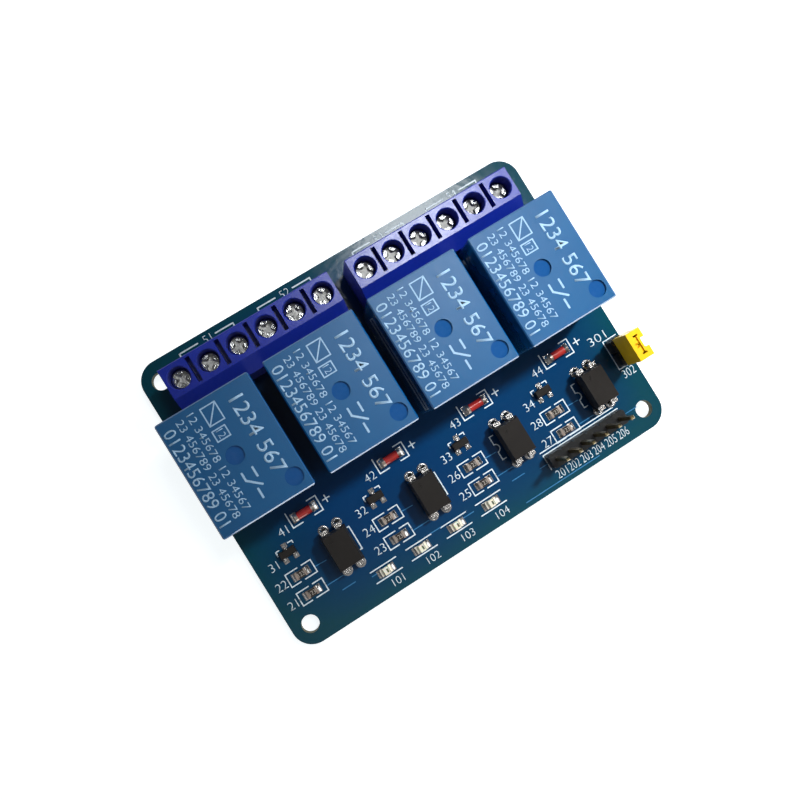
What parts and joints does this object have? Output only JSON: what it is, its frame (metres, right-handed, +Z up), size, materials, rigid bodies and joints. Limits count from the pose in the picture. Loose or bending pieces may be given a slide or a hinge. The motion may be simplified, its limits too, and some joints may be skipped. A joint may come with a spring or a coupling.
{
  "type": "relay module board",
  "caption": "Circuit board with a row of sealed relays, screw terminals along one edge, optocouplers, small surface parts, an input pin header and a pull-off jumper cap.",
  "frame": {"origin": "centre of the four mounting holes, on the underside of the circuit board", "axes": "+X along the long side towards the jumper, +Y towards the wire side of the terminals, +Z up out of the board's parts side"},
  "size_m": [0.0734, 0.0536, 0.0192],
  "materials": {
    "board": "glossy solder mask over glass-fibre board",
    "relay_blue": "satin moulded plastic",
    "relay_base": "potted base plate",
    "terminal_blue": "moulded plastic",
    "tin": "tinned copper",
    "screw_steel": "bright zinc plated",
    "clamp_steel": "plated pressing",
    "opto_black": "moulded epoxy",
    "resistor_black": "glazed resistive element on alumina",
    "light_base": "white substrate",
    "light_lens": "clear resin, slightly milky",
    "diode_red": "coloured glass over copper leads",
    "header_black": "moulded nylon",
    "pin_metal": "thinly gilded brass",
    "jumper_yellow": "moulded plastic",
    "clip_bronze": "sprung bronze sheet",
    "solder": "solder"
  },
  "bodies": {
    "board": {"circuit_board": "board", "relay_pins": "tin", "terminal_contacts": "tin", "optocoupler_leads": "tin", "resistors": "resistor_black", "resistor_ends": "tin", "light_bases": "light_base", "light_lenses": "light_lens", "diode_bodies": "diode_red", "diode_caps": "tin", "transistors": "opto_black", "transistor_leads": "tin", "input_header_base": "header_black", "input_header_pins": "pin_metal", "jumper_header_base": "header_black", "jumper_header_pins": "pin_metal", "solder_joints": "solder", "surface_solder": "solder", "relay_case_1": "relay_blue", "relay_base_1": "relay_base", "terminal_housing_1": "terminal_blue", "optocoupler_1": "opto_black", "relay_case_2": "relay_blue", "relay_base_2": "relay_base", "terminal_housing_2": "terminal_blue", "optocoupler_2": "opto_black", "relay_case_3": "relay_blue", "relay_base_3": "relay_base", "terminal_housing_3": "terminal_blue", "optocoupler_3": "opto_black", "relay_case_4": "relay_blue", "relay_base_4": "relay_base", "terminal_housing_4": "terminal_blue", "optocoupler_4": "opto_black"},
    "jumper": {"jumper_cap": "jumper_yellow", "jumper_clip": "clip_bronze"},
    "screw_1": {"terminal_screw_1": "screw_steel"},
    "clamp_1": {"wire_clamp_1": "clamp_steel"},
    "screw_2": {"terminal_screw_2": "screw_steel"},
    "clamp_2": {"wire_clamp_2": "clamp_steel"},
    "screw_3": {"terminal_screw_3": "screw_steel"},
    "clamp_3": {"wire_clamp_3": "clamp_steel"},
    "screw_4": {"terminal_screw_4": "screw_steel"},
    "clamp_4": {"wire_clamp_4": "clamp_steel"},
    "screw_5": {"terminal_screw_5": "screw_steel"},
    "clamp_5": {"wire_clamp_5": "clamp_steel"},
    "screw_6": {"terminal_screw_6": "screw_steel"},
    "clamp_6": {"wire_clamp_6": "clamp_steel"},
    "screw_7": {"terminal_screw_7": "screw_steel"},
    "clamp_7": {"wire_clamp_7": "clamp_steel"},
    "screw_8": {"terminal_screw_8": "screw_steel"},
    "clamp_8": {"wire_clamp_8": "clamp_steel"},
    "screw_9": {"terminal_screw_9": "screw_steel"},
    "clamp_9": {"wire_clamp_9": "clamp_steel"},
    "screw_10": {"terminal_screw_10": "screw_steel"},
    "clamp_10": {"wire_clamp_10": "clamp_steel"},
    "screw_11": {"terminal_screw_11": "screw_steel"},
    "clamp_11": {"wire_clamp_11": "clamp_steel"},
    "screw_12": {"terminal_screw_12": "screw_steel"},
    "clamp_12": {"wire_clamp_12": "clamp_steel"}
  },
  "joints": [
    {"name": "jumper_pull", "type": "slide", "parent": "board", "child": "jumper", "axis": [0, 0, 1], "range_m": [0, 0.006]},
    {"name": "screw_1_turn", "type": "hinge", "parent": "board", "child": "screw_1", "pos_m": [-0.02975, 0.02055, 0.0086], "axis": [0, 0, -1], "range_deg": [0, 1280]},
    {"name": "clamp_1_rise", "type": "slide", "parent": "board", "child": "clamp_1", "axis": [0, 0, 1], "range_m": [0, 0.0016]},
    {"name": "screw_2_turn", "type": "hinge", "parent": "board", "child": "screw_2", "pos_m": [-0.02467, 0.02055, 0.0086], "axis": [0, 0, -1], "range_deg": [0, 1280]},
    {"name": "clamp_2_rise", "type": "slide", "parent": "board", "child": "clamp_2", "axis": [0, 0, 1], "range_m": [0, 0.0016]},
    {"name": "screw_3_turn", "type": "hinge", "parent": "board", "child": "screw_3", "pos_m": [-0.01959, 0.02055, 0.0086], "axis": [0, 0, -1], "range_deg": [0, 1280]},
    {"name": "clamp_3_rise", "type": "slide", "parent": "board", "child": "clamp_3", "axis": [0, 0, 1], "range_m": [0, 0.0016]},
    {"name": "screw_4_turn", "type": "hinge", "parent": "board", "child": "screw_4", "pos_m": [-0.01451, 0.02055, 0.0086], "axis": [0, 0, -1], "range_deg": [0, 1280]},
    {"name": "clamp_4_rise", "type": "slide", "parent": "board", "child": "clamp_4", "axis": [0, 0, 1], "range_m": [0, 0.0016]},
    {"name": "screw_5_turn", "type": "hinge", "parent": "board", "child": "screw_5", "pos_m": [-0.00943, 0.02055, 0.0086], "axis": [0, 0, -1], "range_deg": [0, 1280]},
    {"name": "clamp_5_rise", "type": "slide", "parent": "board", "child": "clamp_5", "axis": [0, 0, 1], "range_m": [0, 0.0016]},
    {"name": "screw_6_turn", "type": "hinge", "parent": "board", "child": "screw_6", "pos_m": [-0.00435, 0.02055, 0.0086], "axis": [0, 0, -1], "range_deg": [0, 1280]},
    {"name": "clamp_6_rise", "type": "slide", "parent": "board", "child": "clamp_6", "axis": [0, 0, 1], "range_m": [0, 0.0016]},
    {"name": "screw_7_turn", "type": "hinge", "parent": "board", "child": "screw_7", "pos_m": [0.00355, 0.02055, 0.0086], "axis": [0, 0, -1], "range_deg": [0, 1280]},
    {"name": "clamp_7_rise", "type": "slide", "parent": "board", "child": "clamp_7", "axis": [0, 0, 1], "range_m": [0, 0.0016]},
    {"name": "screw_8_turn", "type": "hinge", "parent": "board", "child": "screw_8", "pos_m": [0.00863, 0.02055, 0.0086], "axis": [0, 0, -1], "range_deg": [0, 1280]},
    {"name": "clamp_8_rise", "type": "slide", "parent": "board", "child": "clamp_8", "axis": [0, 0, 1], "range_m": [0, 0.0016]},
    {"name": "screw_9_turn", "type": "hinge", "parent": "board", "child": "screw_9", "pos_m": [0.01371, 0.02055, 0.0086], "axis": [0, 0, -1], "range_deg": [0, 1280]},
    {"name": "clamp_9_rise", "type": "slide", "parent": "board", "child": "clamp_9", "axis": [0, 0, 1], "range_m": [0, 0.0016]},
    {"name": "screw_10_turn", "type": "hinge", "parent": "board", "child": "screw_10", "pos_m": [0.01879, 0.02055, 0.0086], "axis": [0, 0, -1], "range_deg": [0, 1280]},
    {"name": "clamp_10_rise", "type": "slide", "parent": "board", "child": "clamp_10", "axis": [0, 0, 1], "range_m": [0, 0.0016]},
    {"name": "screw_11_turn", "type": "hinge", "parent": "board", "child": "screw_11", "pos_m": [0.02387, 0.02055, 0.0086], "axis": [0, 0, -1], "range_deg": [0, 1280]},
    {"name": "clamp_11_rise", "type": "slide", "parent": "board", "child": "clamp_11", "axis": [0, 0, 1], "range_m": [0, 0.0016]},
    {"name": "screw_12_turn", "type": "hinge", "parent": "board", "child": "screw_12", "pos_m": [0.02895, 0.02055, 0.0086], "axis": [0, 0, -1], "range_deg": [0, 1280]},
    {"name": "clamp_12_rise", "type": "slide", "parent": "board", "child": "clamp_12", "axis": [0, 0, 1], "range_m": [0, 0.0016]}
  ],
  "couplings": [
    {"joint": "screw_1_turn", "follows": "clamp_1_rise", "rad_per_m": 13963},
    {"joint": "screw_2_turn", "follows": "clamp_2_rise", "rad_per_m": 13963},
    {"joint": "screw_3_turn", "follows": "clamp_3_rise", "rad_per_m": 13963},
    {"joint": "screw_4_turn", "follows": "clamp_4_rise", "rad_per_m": 13963},
    {"joint": "screw_5_turn", "follows": "clamp_5_rise", "rad_per_m": 13963},
    {"joint": "screw_6_turn", "follows": "clamp_6_rise", "rad_per_m": 13963},
    {"joint": "screw_7_turn", "follows": "clamp_7_rise", "rad_per_m": 13963},
    {"joint": "screw_8_turn", "follows": "clamp_8_rise", "rad_per_m": 13963},
    {"joint": "screw_9_turn", "follows": "clamp_9_rise", "rad_per_m": 13963},
    {"joint": "screw_10_turn", "follows": "clamp_10_rise", "rad_per_m": 13963},
    {"joint": "screw_11_turn", "follows": "clamp_11_rise", "rad_per_m": 13963},
    {"joint": "screw_12_turn", "follows": "clamp_12_rise", "rad_per_m": 13963}
  ]
}
